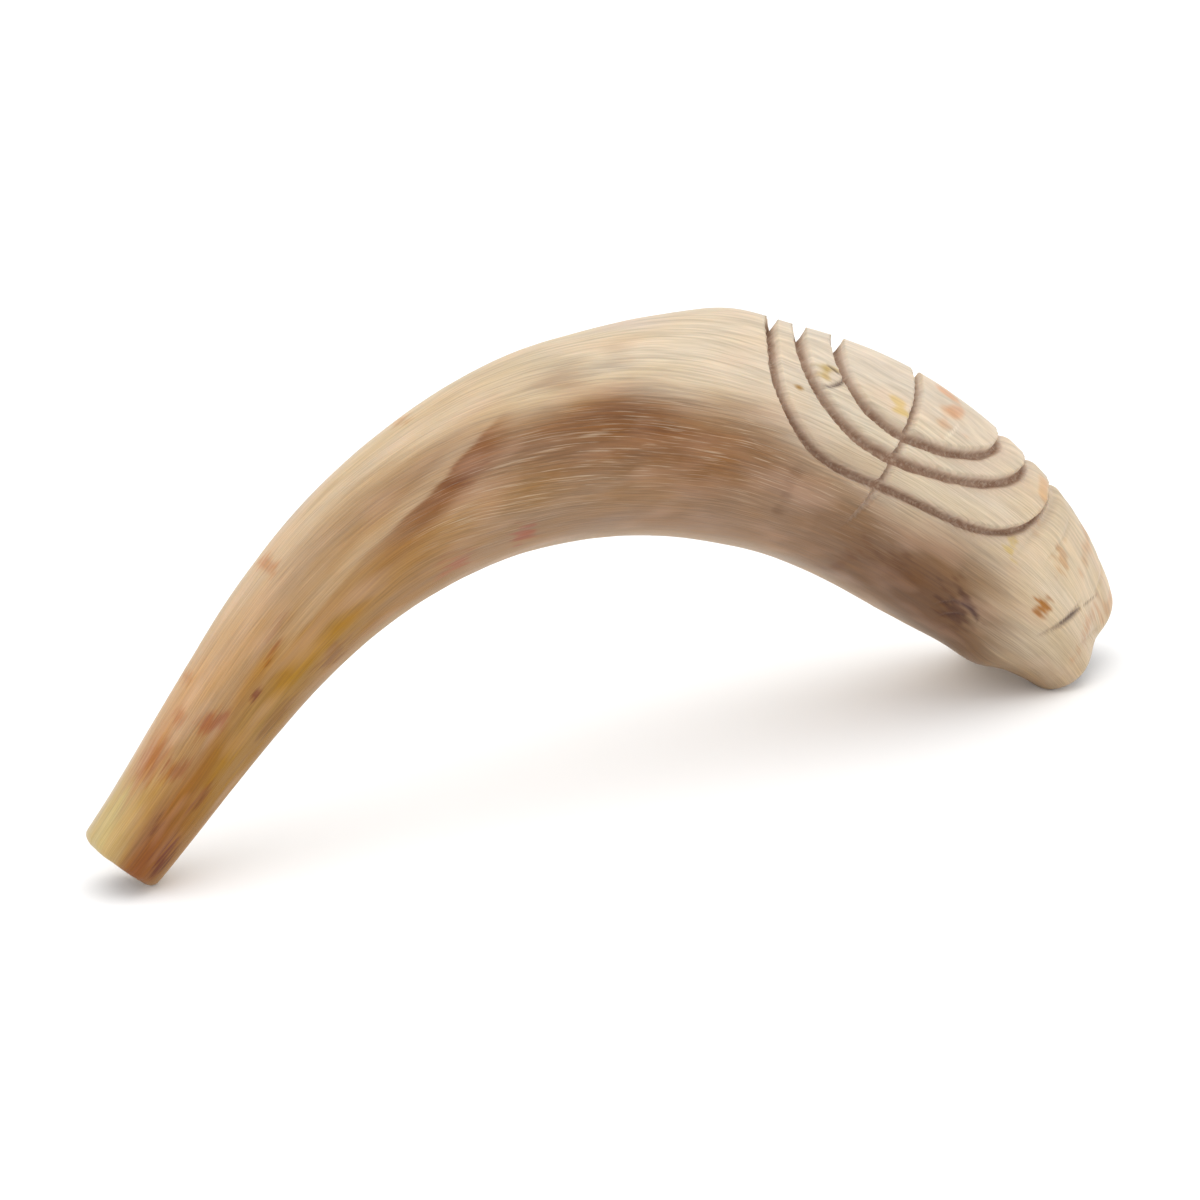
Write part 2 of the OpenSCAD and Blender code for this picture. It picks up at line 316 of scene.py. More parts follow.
# Smaller stains with ragged edges: along, around, half length, half width, slant, colour, strength
STAINS = (
    (28, 20, 7, 20, 0.0, "#AE7246", 0.45),
    (28, 52, 5, 12, 0.5, "#9C5A2E", 0.50),
    (44, 56, 5, 14, 0.6, "#A2582C", 0.55),
    (41, 20, 3, 12, 0.0, "#B4764C", 0.45),
    (14, 70, 5, 7, 0.0, "#7E4A1E", 0.70),
    (8, 108, 7, 14, -0.6, "#7A3E14", 0.85),
    (26, 96, 6, 6, 0.0, "#8A5020", 0.55),
    (57, 76, 2.5, 3, 0.0, "#84481E", 0.80),
    (68, 64, 4, 4, 0.0, "#9A6238", 0.60),
    (55, 112, 12, 12, 0.0, "#8C6230", 0.45),
    (78, 112, 7, 12, 0.0, "#8A5A2C", 0.45),
    (74, 52, 6, 5, 0.0, "#A87A54", 0.45),
    (131, 60, 5, 7, 0.0, "#7C481A", 0.60),
    (120, 116, 6, 12, 0.4, "#B06A52", 0.55),
    (141, 118, 4, 14, 0.0, "#A9624C", 0.60),
    (184, 74, 14, 5, 0.4, "#7E532A", 0.45),
    (222, 100, 3, 16, 0.0, "#7E5A38", 0.45),
    (256, 135, 4, 18, 0.0, "#7E5634", 0.50),
    (299, 122, 9, 10, 0.6, "#5E3A20", 0.75),
    (272, 120, 10, 10, 0.3, "#6E4B2E", 0.50),
    (272, 10, 5, 22, -0.6, "#D9A884", 0.60),
    (268, 33, 4, 10, -0.4, "#D9AC86", 0.50),
    (253, 40, 3, 6, 0.0, "#D6C088", 0.80),
    (231, 32, 3.4, 6, 0.0, "#C9AE6C", 0.95),
    (222, 47, 1.6, 2.5, 0.0, "#B08A4C", 0.85),
    (302, 74, 2.2, 9, -0.6, "#D2BC84", 0.80),
    (322, 92, 4.5, 7, 0.0, "#A87640", 0.85),
    (323, 56, 4, 12, 0.0, "#C49C76", 0.50),
    (310, 30, 2.5, 26, -0.2, "#D6AE88", 0.50),
    (333, 20, 3, 26, 0.0, "#CDA27E", 0.55),
    (346, 70, 3, 26, 0.2, "#C49470", 0.45),
    (350, 30, 3, 30, 0.0, "#C9A27E", 0.50),
    (83, -2, 2.4, 22, 0.0, "#C08A60", 0.60),
    (50, -10, 2.2, 18, 0.0, "#BE8C62", 0.50),
    (128, -18, 2.4, 12, 0.0, "#C49A72", 0.55),
)
# Upper edge of the brown fibres on the arch, where the pale outer layer ends and the face below turns down:
# along, around. The brown below it is partly the horn's own brown fibres and partly painted shade of that
# downward face.
PALE_EDGE = ((70, 72), (84, 68), (105, 64), (118, 58.5), (128, 52), (138, 43), (146, 33), (160, 22))
# Fine creases: half width and depth in millimetres, darkness, and the places that the line runs through; the
# darkness is partly the crack's own dark and partly painted shade in the crease
CREASES = (
    (0.75, 0.9, 1.0, ((330, 101), (334, 88), (337, 76), (339.5, 66))),
    (0.30, 0.3, 0.6, ((339.5, 66), (342, 52), (344, 38))),
    (0.70, 0.7, 0.35, ((327, 108), (331, 98), (335, 82), (338, 62))),
    (0.55, 0.7, 0.9, ((236, 29), (236.5, 35), (233, 41), (229, 43))),
    (0.45, 0.5, 0.8, ((231, 27), (233.5, 29.5), (235, 33))),
    (0.50, 0.6, 0.9, ((294, 119), (300, 116), (304, 117.5), (308, 121))),
    (0.40, 0.4, 0.7, ((297, 131), (299, 124), (303, 121))),
    (0.40, 0.35, 0.55, ((292, 126), (294, 120), (298, 116))),
    (1.20, 0.45, 0.10, ((302, 88), (308, 66), (313, 44), (317, 22), (319, 4))),
    (0.90, 0.40, 0.12, ((343, 96), (347, 84), (350, 66), (352, 48))),
    (0.80, 0.35, 0.10, ((316, 70), (320, 54), (322, 40), (323, 24))),
    (1.00, 0.40, 0.08, ((342, 44), (343, 28), (342, 12), (340, -6))),
    (0.30, 0.15, -0.5, ((268, 46), (271, 38), (273, 30))),
)


def waves(along, around, size, seed, stretch=1.0):
    """Smooth noise from -1 to 1 that joins up around the horn; stretch lengthens it along the horn."""
    dice = np.random.default_rng(seed)
    turn = np.radians(around)
    total = 0
    for _ in range(14):
        way = dice.normal(size=3)
        way *= 2 * np.pi / size * dice.uniform(0.6, 1.4) / np.linalg.norm(way)
        phase = way[0] / stretch * along + 26 * (way[1] * np.cos(turn) + way[2] * np.sin(turn))
        total = total + np.sin(phase + dice.uniform(0, 2 * np.pi))
    return total / 5


def fibre_turn(along, around):
    """The angle that a fibre keeps: fibres drift down the viewer's side of the arch and waver a little."""
    angle = (around + 180) % 360 - 180
    side = np.exp(1.2 * (np.cos(np.radians(angle - 62)) - 1))
    drift = 0.5 * (np.logaddexp(0, (along - 112) / 14) - np.logaddexp(0, (along - 250) / 14)) * 14
    dome = 8 * np.exp(-(((along - 112) / 26) ** 2)) * np.exp(-(((angle - 84) / 22) ** 2))
    waver = 0.8 * waves(along, around, 30, 5, 1.6) + 0.4 * waves(along, around, 9, 6, 2)
    return around - drift * side + dome + waver


def cover_of(ds, da, soft):
    reach = np.sqrt(ds**2 + da**2)
    return 1 - smooth((reach - (1 - soft)) / (2 * soft))


def tone_of(along, around):
    """Colour of the skin at each place, from the tones, the pale edge and the stains."""
    kept = fibre_turn(along, around)
    feather = waves(along, kept, 3.2, 11, 9)
    moved_along = along + 4 * waves(along, around, 30, 1) + 3 * feather
    moved_around = around + 4 * waves(along, around, 24, 2, 1.5) + 1.4 * waves(along, kept, 6, 3, 6)
    colour = np.zeros(along.shape + (4,)) + np.array(linear(BASE_TONE))

    def lay(name, cover):
        nonlocal colour
        colour = colour + (np.array(linear(name)) - colour) * np.clip(cover, 0, 1)[..., None]

    for at, angle, half_length, half_width, slant, name, strength, soft in TONES:
        da = ((moved_around - angle - slant * (along - at) + 180) % 360 - 180) / half_width
        lay(name, strength * cover_of((moved_along - at) / half_length, da, soft))
    edge = np.interp(along, *zip(*PALE_EDGE))
    below = ((around + 0.8 * feather + 1.2 * waves(along, around, 14, 8) - edge + 180) % 360 - 180)
    hard = 3 + 9 * smooth((along - 142) / 14)
    # brown band below the pale edge: partly the horn's own brown fibres, partly painted shade of the face
    # that turns down
    brown = smooth(below / hard + 0.3) * (1 - smooth((below - 9) / 17)) * smooth((along - 92) / 32)
    lay("#8C5A28", 0.9 * brown * (1 - smooth((along - 137) / 14)))
    pale = (1 - smooth(below / hard + 0.3)) * smooth((below + 16) / 12) * smooth((along - 60) / 20)
    lay("#CDB392", 0.45 * pale * (1 - smooth((along - 128) / 14)))
    for at, angle, half_length, half_width, slant, name, strength in STAINS:
        da = ((around - angle - slant * (along - at) + 180) % 360 - 180) / half_width
        ds = (along - at) / half_length
        ragged = 0.2 * waves(along, kept, 4, 21, 1.2) + 0.55 * waves(along, kept, 1.7, 22, 5.0)
        lay(name, 1.15 * strength * (1 - smooth((np.sqrt(ds**2 + da**2) + ragged - 0.2) / 0.9)))
    return np.clip(TONE_STRENGTH * colour**TONE_DEPTH, 0.002, 1)


def scratched(along, around):
    """How far pale scraping marks show, from 0 to 1: on the brown fibres of the arch."""
    angle = (around + 180) % 360 - 180
    return smooth((along - 105) / 20) * (1 - smooth((along - 255) / 30)) * np.exp(-(((angle - 78) / 34) ** 2))


# ------------------------------------------------------------------------------------------- carving routes
def stem_along(around):
    over_crest = np.maximum(0, BRANCH_TOP - around) / CREST_TURN
    return (STEM_ALONG - STEM_LEAN * around - STEM_BEND * around * np.abs(around)
            + CREST_LEAN * CREST_TURN * (np.sqrt(1 + over_crest**2) - 1))


def pair_route(name):
    """A pair of branches as along, around and how far it has turned to its bell side, from 0 to 1."""
    mouth_reach, bell_reach, low, mouth_square, bell_square = PAIRS[name]
    swing = np.radians(np.linspace(-90, 90, 161))
    swing = np.sign(swing) * np.abs(swing / swing[-1]) ** 1.6 * swing[-1]
    power = 2 / np.where(swing < 0, mouth_square, bell_square)
    around = BRANCH_TOP + (low - BRANCH_TOP) * np.abs(np.cos(swing)) ** power
    reach = np.where(swing < 0, mouth_reach, bell_reach) * np.sign(swing) * np.abs(np.sin(swing)) ** power
    along = stem_along(around) + reach
    mouth_arms, bell_arms = (np.linspace(end, BRANCH_TOP, 56)[:-1] for end in GROOVE_ENDS[::2])
    mouth_along = stem_along(mouth_arms) - mouth_reach
    bell_along = stem_along(bell_arms) + bell_reach
    along = np.concatenate([mouth_along, along, bell_along[::-1]])
    around = np.concatenate([mouth_arms, around, bell_arms[::-1]])
    bell_side = np.concatenate([0 * mouth_arms, smooth(np.sin(swing) * 1.6), 0 * bell_arms + 1])
    return along, around, bell_side


def stem_route():
    around = np.linspace(GROOVE_ENDS[1], STEM_FOOT, 110)
    return stem_along(around), around, 0 * around


def route_object(name, along, around, values, edges=None):
    """A polyline on the skin that a groove follows, with values for its shape on each point."""
    points = on_part(skin(along, around))
    mesh = bpy.data.meshes.new(name)
    mesh.from_pydata(points.tolist(), edges or [(k, k + 1) for k in range(len(points) - 1)], [])
    way = np.gradient(points, axis=0)
    out = points - on_part(axes(along)[0])
    across = np.cross(way, out)
    across /= np.linalg.norm(across, axis=1, keepdims=True)
    centre = on_part(skin(np.array([STEM_ALONG]), np.array([BRANCH_TOP])))[0]
    flip = np.sign(((points - centre) * across).sum(1, keepdims=True))
    add_attribute(mesh, "away", "FLOAT_VECTOR", across * flip)
    for label, value in values.items():
        add_attribute(mesh, label, "FLOAT", np.broadcast_to(value, along.shape))
    route = bpy.data.objects.new(name, mesh)
    bpy.context.collection.objects.link(route)
    return route


def carving_routes():
    """The routes of the carved grooves, deepest over the crest, and the one mesh of fine creases."""
    routes = []
    for name in PAIRS:
        along, around, bell_side = pair_route(name)
        crest = 1 - smooth((around + 2) / 22)
        end = smooth((around - np.where(bell_side > 0.5, *GROOVE_ENDS[::-2])) / 10)
        wide = {"inner": 1.1, "middle": 1.1, "outer": 0.85}[name]
        values = {"slope": bell_side * (1 - 0.6 * crest), "depth": (1 + 0.4 * crest) * end,
                  "width": wide * (1 - 0.25 * bell_side) * (1 - 0.2 * crest)}
        routes.append(route_object("route_" + name, along, around, values))
    along, around, bell_side = stem_route()
    fade = 1 - smooth((around - 82) / 34)
    crest = 1 - smooth((around + 2) / 22)
    end = smooth((around - GROOVE_ENDS[1]) / 10)
    values = {"slope": bell_side, "depth": 0.85 * fade * end * (1 + 0.6 * crest), "width": 0.25 + 0.4 * fade}
    routes.append(route_object("route_stem", along, around, values))

    along, around, width, depth, dark, edges = [], [], [], [], [], []
    for half_width, deep, darkness, line in CREASES:
        start = len(along)
        leg = np.linspace(0, len(line) - 1, 24)
        at, angle = (spline([[place[k]] for place in line], leg)[:, 0] for k in (0, 1))
        fade = np.sin(np.linspace(0, math.pi, 24)) ** 0.5
        along.extend(at)
        around.extend(angle)
        width.extend(half_width * (0.4 + 0.6 * fade))
        depth.extend(deep * fade)
        dark.extend(darkness * fade)
        edges.extend((k, k + 1) for k in range(start, start + 23))
    values = {"depth": depth, "width": width, "dark": dark}
    routes.append(route_object("creases", np.array(along), np.array(around), values, edges))
    return routes


# ---------------------------------------------------------------------------------------- node tree helpers
def add_node(tree, kind, links=None, **settings):
    """Adds one node: settings by name, and links or values for its inputs by index or name."""
    node = tree.nodes.new(kind)
    for key, value in settings.items():
        setattr(node, key, value)
    for key, value in (links or {}).items():
        socket = node.inputs[key]
        if isinstance(value, bpy.types.NodeSocket):
            tree.links.new(value, socket)
        else:
            socket.default_value = value
    return node


def carving_tree(routes):
    """Shapes the skin: growth ripples, a rough-floored groove along each route, and fine creases."""
    tree = bpy.data.node_groups.new("Horn carving", "GeometryNodeTree")
    tree.interface.new_socket("Horn", in_out="INPUT", socket_type="NodeSocketGeometry")
    for label, default in (("Depth", 0.0034), ("Half width", 0.0019), ("Floor half width", 0.0011),
                           ("Slope width", 0.0085), ("Roughness", 0.0005), ("Ripple height", 0.0004),
                           ("Unevenness", 0.0008)):
        socket = tree.interface.new_socket(label, in_out="INPUT", socket_type="NodeSocketFloat")
        socket.default_value = default
    for route in routes:
        tree.interface.new_socket(route.name, in_out="INPUT", socket_type="NodeSocketObject")
    tree.interface.new_socket("Material", in_out="INPUT", socket_type="NodeSocketMaterial")
    tree.interface.new_socket("Horn", in_out="OUTPUT", socket_type="NodeSocketGeometry")
    inputs = add_node(tree, "NodeGroupInput").outputs

    def math_node(operation, a, b=0.0, clamp=False):
        return add_node(tree, "ShaderNodeMath", {0: a, 1: b}, operation=operation, use_clamp=clamp).outputs[0]

    def named(name, kind="FLOAT"):
        return add_node(tree, "GeometryNodeInputNamedAttribute", {"Name": name}, data_type=kind).outputs[0]

    def uneven(scale, detail=2.0):
        """Noise from -0.5 to 0.5 on the grain coordinates, scaled per millimetre along, out and side."""
        stretched = add_node(tree, "ShaderNodeVectorMath", {0: named("grain", "FLOAT_VECTOR"), 1: scale},
                             operation="MULTIPLY").outputs[0]
        noise = add_node(tree, "ShaderNodeTexNoise", {"Vector": stretched, "Scale": 1.0, "Detail": detail})
        return math_node("SUBTRACT", noise.outputs[0], 0.5)

    def falling(value, start, end):
        """1 up to start and 0 from end, straight between them."""
        ends = {"Value": value, 1: start, 2: end, 3: 1.0, 4: 0.0}
        return add_node(tree, "ShaderNodeMapRange", ends).outputs[0]

    place = add_node(tree, "GeometryNodeInputPosition").outputs[0]
    outer_skin = named("outer")
    chatter = uneven((0.7, 0.7, 0.7), 3.0)
    wobble = math_node("MULTIPLY", uneven((0.16, 0.16, 0.16)), 0.0012)
    rise = math_node("MULTIPLY", math_node("MULTIPLY", uneven((0.16, 0.02, 0.02)), inputs["Ripple height"]),
                     named("ripple"))
    unevenness = math_node("MULTIPLY", uneven((0.025, 0.05, 0.05), 1.0), inputs["Unevenness"])
    rise = math_node("ADD", rise, unevenness)

    def nearest(route):
        shape = add_node(tree, "GeometryNodeObjectInfo", {"Object": inputs[route.name]},
                         transform_space="ORIGINAL").outputs["Geometry"]
        near = add_node(tree, "GeometryNodeProximity", {"Geometry": shape}, target_element="EDGES").outputs
        index = add_node(tree, "GeometryNodeSampleNearest", {"Geometry": shape}, domain="POINT").outputs[0]

        def sampled(name, kind="FLOAT"):
            return add_node(tree, "GeometryNodeSampleIndex", {"Geometry": shape, "Value": named(name, kind),
                                                              "Index": index}, data_type=kind).outputs[0]
        return near, sampled

    carved, ramped = None, None
    for route in routes[:-1]:
        near, sampled = nearest(route)
        offset = add_node(tree, "ShaderNodeVectorMath", {0: place, 1: near["Position"]},
                          operation="SUBTRACT").outputs[0]
        side = add_node(tree, "ShaderNodeVectorMath", {0: offset, 1: sampled("away", "FLOAT_VECTOR")},
                        operation="DOT_PRODUCT").outputs["Value"]
        width = sampled("width")
        half = math_node("MULTIPLY", inputs["Half width"], width)
        floor = math_node("MULTIPLY", inputs["Floor half width"], width)
        bell_side = math_node("GREATER_THAN", side, 0.0)
        slope = math_node("MULTIPLY", sampled("slope"), bell_side)
        slope = math_node("MULTIPLY", slope, inputs["Slope width"])
        distance = math_node("ADD", near["Distance"], wobble)
        wall = falling(distance, floor, half)
        ramp = falling(distance, 0.0, math_node("ADD", half, slope))
        ramp = math_node("MULTIPLY", math_node("MULTIPLY", ramp, ramp),
                         math_node("MINIMUM", math_node("MULTIPLY", slope, 160.0), 0.72))
        deepest = sampled("depth")
        walls = math_node("MULTIPLY", wall, deepest)
        ramps = math_node("MULTIPLY", ramp, deepest)
        carved = walls if carved is None else math_node("MAXIMUM", carved, walls)
        ramped = ramps if ramped is None else math_node("MAXIMUM", ramped, ramps)
    carved = math_node("MULTIPLY", carved, outer_skin)
    ramped = math_node("MULTIPLY", ramped, outer_skin)
    near, sampled = nearest(routes[-1])
    spread = math_node("DIVIDE", near["Distance"], math_node("MULTIPLY", sampled("width"), MM))
    crease = math_node("EXPONENT", math_node("MULTIPLY", math_node("MULTIPLY", spread, spread), -1.0))
    crease = math_node("MULTIPLY", crease, outer_skin)
    deep = math_node("MULTIPLY", math_node("MAXIMUM", carved, ramped), inputs["Depth"])
    rough = math_node("MULTIPLY", math_node("MULTIPLY", chatter, inputs["Roughness"]),
                      math_node("MINIMUM", math_node("MULTIPLY", carved, 3.0), 1.0))
    deep = math_node("ADD", deep, rough)
    crease_depth = math_node("MULTIPLY", math_node("MULTIPLY", crease, sampled("depth")), MM)
    deep = math_node("ADD", deep, crease_depth)
    deep = math_node("SUBTRACT", deep, math_node("MULTIPLY", rise, outer_skin))
    normal = add_node(tree, "GeometryNodeInputNormal").outputs[0]
    move = add_node(tree, "ShaderNodeVectorMath", {0: normal, "Scale": math_node("MULTIPLY", deep, -1.0)},
                    operation="SCALE").outputs[0]
    shape = inputs["Horn"]
    # crease darkness: partly the crack's own dark, partly painted shade in the crease
    darkness = math_node("MULTIPLY", crease, sampled("dark"))
    for name, value in (("carved", carved), ("ramped", ramped), ("crease", darkness)):
        stored = {"Geometry": shape, "Name": name, "Value": value}
        shape = add_node(tree, "GeometryNodeStoreNamedAttribute", stored,
                         data_type="FLOAT", domain="POINT").outputs[0]
    shape = add_node(tree, "GeometryNodeSetPosition", {"Geometry": shape, "Offset": move}).outputs[0]
    shape = add_node(tree, "GeometryNodeRealizeInstances", {"Geometry": shape}).outputs[0]
    covered = add_node(tree, "GeometryNodeSetMaterial", {"Geometry": shape, "Material": inputs["Material"]})
    add_node(tree, "NodeGroupOutput", {"Horn": covered.outputs[0]})
    return tree


def apply_tree(obj, tree, values):
    """Runs a tree on an object and keeps the result as its plain mesh."""
    modifier = obj.modifiers.new(tree.name, "NODES")
    modifier.node_group = tree
    for item in tree.interface.items_tree:
        if item.in_out == "INPUT" and item.name in values:
            modifier[item.identifier] = values[item.name]
    evaluated = obj.evaluated_get(bpy.context.evaluated_depsgraph_get())
    mesh = bpy.data.meshes.new_from_object(evaluated)
    obj.modifiers.remove(modifier)
    obj.data = mesh


# ------------------------------------------------------------------------------------------------ materials
def polished_horn_keratin():
    """Ram's horn, scraped and buffed: a satin, faintly see-through skin with fine lengthwise fibres."""
    material = bpy.data.materials.new("polished_horn_keratin")
    material.use_nodes = True
    tree = material.node_tree
    tree.nodes.clear()

    def read(name, output="Fac"):
        return add_node(tree, "ShaderNodeAttribute", attribute_name=name).outputs[output]

    def math_node(operation, a, b=0.0, clamp=False):
        return add_node(tree, "ShaderNodeMath", {0: a, 1: b}, operation=operation, use_clamp=clamp).outputs[0]

    def streaks(length, width, detail=2.0, source="fibre"):
        """Noise drawn out along the fibres; length and width are in millimetres."""
        scale = (1 / length, 1 / width, 1 / width)
        places = {"Vector": read(source, "Vector"), "Scale": scale}
        vector = add_node(tree, "ShaderNodeMapping", places).outputs[0]
        return add_node(tree, "ShaderNodeTexNoise", {"Vector": vector, "Scale": 1.0, "Detail": detail,
                                                     "Roughness": 0.55}).outputs[0]

    def ranged(value, low, high, out_low=0.0, out_high=1.0):
        ends = {0: value, 1: low, 2: high, 3: out_low, 4: out_high}
        return add_node(tree, "ShaderNodeMapRange", ends).outputs[0]

    def mixed(a, b, factor, blend="MIX"):
        mix = add_node(tree, "ShaderNodeMix", {0: factor, 6: a, 7: b}, data_type="RGBA", blend_type=blend)
        return mix.outputs[2]

    # fibres about 0.4 mm wide, drawn slightly wider than the real 0.3 mm so that they show
    fine = streaks(15, 0.42, 4.0)
    threads = streaks(26, 1.1, 2.0)
    bundles = streaks(46, 4.0, 2.0)
    clouds = streaks(22, 14, 3.0, "grain")
    skin_tone = read("tone", "Color")
    value = math_node("ADD", ranged(fine, 0.34, 0.66, -0.17, 0.17), ranged(threads, 0.3, 0.7, -0.045, 0.045))
    value = math_node("ADD", value, ranged(bundles, 0.3, 0.7, -0.035, 0.035))
    value = math_node("ADD", math_node("ADD", value, ranged(clouds, 0.3, 0.7, -0.04, 0.04)), 1.0)
    warmth = ranged(streaks(30, 9, 2.0, "grain"), 0.3, 0.7, 0.95, 1.18)
    toned = {"Color": skin_tone, "Value": value, "Saturation": warmth}
    colour = add_node(tree, "ShaderNodeHueSaturation", toned).outputs[0]
    colour = mixed(colour, linear("#E2B9A0"), ranged(streaks(20, 9, 1.0, "grain"), 0.5, 0.75, 0.0, 0.16))
    # pale marks that the scraper left across the brown fibres, 0.4 mm wide
    scraped = ranged(streaks(12, 0.4, 3.0), 0.54, 0.72)
    scraping = math_node("MULTIPLY", scraped, math_node("MULTIPLY", read("scratch"), 0.42))
    colour = mixed(colour, linear("#D2BEA2"), scraping)
    # cut horn in the grooves is rough: brown floors, partly the cut's own colour and partly painted shade in
    # the groove; pale grainy walls; and a whitish-grey bloom on the long slope, partly the cut's own dust and
    # partly painted shade on the slope
    carved = read("carved")
    crumbs = streaks(1.0, 1.0, 3.0, "grain")
    patches = streaks(6.0, 6.0, 2.0, "grain")
    cut = mixed(linear("#86654F"), linear("#B39D88"), ranged(crumbs, 0.48, 0.66, 0.0, 0.6))
    floor = math_node("MULTIPLY", ranged(carved, 0.4, 0.95), ranged(patches, 0.35, 0.6, 0.7, 0.95))
    wall = math_node("MULTIPLY", ranged(carved, 0.05, 0.5), ranged(crumbs, 0.4, 0.6, 0.55, 0.85))
    colour = mixed(colour, linear("#BDA693"), wall)
    # greyish tint on the bell-side slope into a groove: partly the cut's own whitish dust, partly painted
    # shade
    slope_dust_and_shade = math_node("MULTIPLY", ranged(read("ramped"), 0.12, 0.6), ranged(crumbs, 0.42, 0.62, 0.2, 0.7))
    colour = mixed(colour, linear("#B59E8C"), slope_dust_and_shade)
    # dark brown groove floors: partly the cut horn's own colour, partly painted shade in the groove
    colour = mixed(colour, cut, floor)
    # a crease is dark where its value is above 0, partly its own dark and partly painted shade in the crease,
    # and a pale scratch where it is below
    pale_crease = math_node("MULTIPLY", read("crease"), -1.0)
    colour = mixed(colour, linear("#43251F"), math_node("MAXIMUM", read("crease"), 0.0))
    colour = mixed(colour, linear("#EFE2CC"), math_node("MAXIMUM", pale_crease, 0.0))
    colour = mixed(linear("#7A5C3C"), colour, read("outer"))
    cut_roughness = ranged(carved, 0.1, 0.5, 0.0, 0.3)
    rough = math_node("ADD", ranged(fine, 0.3, 0.7, 0.36, 0.48), cut_roughness, clamp=True)
    grit = math_node("MULTIPLY", math_node("MULTIPLY", crumbs, ranged(carved, 0.1, 0.4)), 4.0)
    relief = {"Strength": 0.5, "Distance": 0.16 * MM, "Height": math_node("ADD", fine, grit)}
    bump = add_node(tree, "ShaderNodeBump", relief).outputs[0]
    output = add_node(tree, "ShaderNodeOutputMaterial")
    shader = add_node(tree, "ShaderNodeBsdfPrincipled", {
        "Base Color": colour, "Roughness": rough, "Normal": bump, "Subsurface Weight": 0.22,
        "Subsurface Radius": (1.0, 0.55, 0.3), "Subsurface Scale": 0.0022, "IOR": 1.54,
        "Specular IOR Level": 0.3})
    tree.links.new(shader.outputs[0], output.inputs[0])
    return material


# ------------------------------------------------------------------------------------------------ operators
class HornSettings(bpy.types.PropertyGroup):
    groove_depth: bpy.props.FloatProperty(
        name="Groove depth", description="Depth of the carved grooves", default=0.0034, unit="LENGTH")
    groove_half_width: bpy.props.FloatProperty(
        name="Groove half width", description="Half the width of a groove at the skin", default=0.0021,
        unit="LENGTH")
    slope_width: bpy.props.FloatProperty(
        name="Slope width", description="Width of the long slope on the bell side", default=0.0085,
        unit="LENGTH")
    ripple_height: bpy.props.FloatProperty(
        name="Ripple height", description="Height of the growth ripples around the bell", default=0.0005,
        unit="LENGTH")


class StageSettings(bpy.types.PropertyGroup):
    camera_azimuth: bpy.props.FloatProperty(
        name="Camera azimuth", description="Turn of the camera about Z; 0 looks along +Y",
        default=math.radians(-27.41), subtype="ANGLE")
    camera_elevation: bpy.props.FloatProperty(
        name="Camera elevation", description="Height of the camera above the horizon",
        default=math.radians(20.15), subtype="ANGLE")
    camera_tilt: bpy.props.FloatProperty(
        name="Camera tilt", description="Turn of the camera about its own line of sight",
        default=math.radians(2.29), subtype="ANGLE")
    camera_distance: bpy.props.FloatProperty(
        name="Camera distance", description="Distance from the camera to the point it looks at",
        default=1.0815, unit="LENGTH")
    lens: bpy.props.FloatProperty(name="Lens", description="Focal length", default=120.0, unit="CAMERA")
    floor_colour: bpy.props.FloatVectorProperty(
        name="Floor colour", description="Colour of the floor", default=linear("#FAFAFA")[:3],
        subtype="COLOR", size=3)


class SHOFAR_OT_horn(bpy.types.Operator):
    """Makes the horn: its skin, drilled bore, hollow and carving."""

    bl_idname = "shofar.horn"
    bl_label = "Make the horn"

    def execute(self, context):
        settings = context.scene.shofar_horn
        along = spaced([(RIM_ROUND, 205, 1.3), (205, 322, 0.62), (322, HORN_LENGTH - RIM_ROUND, 0.65)])
        mouth = MOUTH_ROUND * (1 - np.cos(np.radians(np.linspace(0, 90, 8))))[:-1]
        rim = HORN_LENGTH - RIM_ROUND * (1 - np.cos(np.radians(np.linspace(90, 0, 10))))[1:]
        outer_along = np.concatenate([mouth, along, rim])
        around = spaced([(-180, -52, 4.6), (-52, 132, 1.25), (132, 180, 3.4)])[:-1]
        inner_along = spaced([(HORN_LENGTH, 300, 2.5), (300, CUP_DEPTH, 6.0), (CUP_DEPTH, 0, 1.5)])
        a, b = np.meshgrid(outer_along, around, indexing="ij")
        c, d = np.meshgrid(inner_along, around, indexing="ij")
        rings = np.concatenate([on_part(skin(a, b)), on_part(lining(c, d))])
        mesh = closed_tube("shofar_horn", rings)
        every_along, every_around = np.concatenate([a, c]), np.concatenate([b, d])
        for name, angle in (("grain", every_around), ("fibre", fibre_turn(every_along, every_around))):
            turn = np.radians(angle)
            add_attribute(mesh, name, "FLOAT_VECTOR",
                          np.stack([every_along, 26 * np.cos(turn), 26 * np.sin(turn)], -1))
        ripple = 0.25 + 0.75 * smooth((every_along - 290) / 30) * (1 - smooth((every_around - 100) / 40))
        outer = np.concatenate([np.ones_like(a), np.zeros_like(c)])
        scratch = scratched(every_along, every_around)
        for name, values in (("outer", outer), ("ripple", ripple), ("scratch", scratch)):
            add_attribute(mesh, name, "FLOAT", values)
        add_attribute(mesh, "tone", "FLOAT_COLOR", tone_of(every_along, every_around))
        mesh.polygons.foreach_set("use_smooth", np.ones(len(mesh.polygons), bool))
        horn = bpy.data.objects.new("shofar_horn", mesh)
        context.collection.objects.link(horn)
        routes = carving_routes()
        tree = carving_tree(routes)
        values = {"Depth": settings.groove_depth, "Half width": settings.groove_half_width,
                  "Slope width": settings.slope_width, "Ripple height": settings.ripple_height,
                  "Material": polished_horn_keratin()}
        values.update({route.name: route for route in routes})
        apply_tree(horn, tree, values)
        for route in routes:
            bpy.data.objects.remove(route)
        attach(horn, "root")
        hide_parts(*NODES)
        return {"FINISHED"}


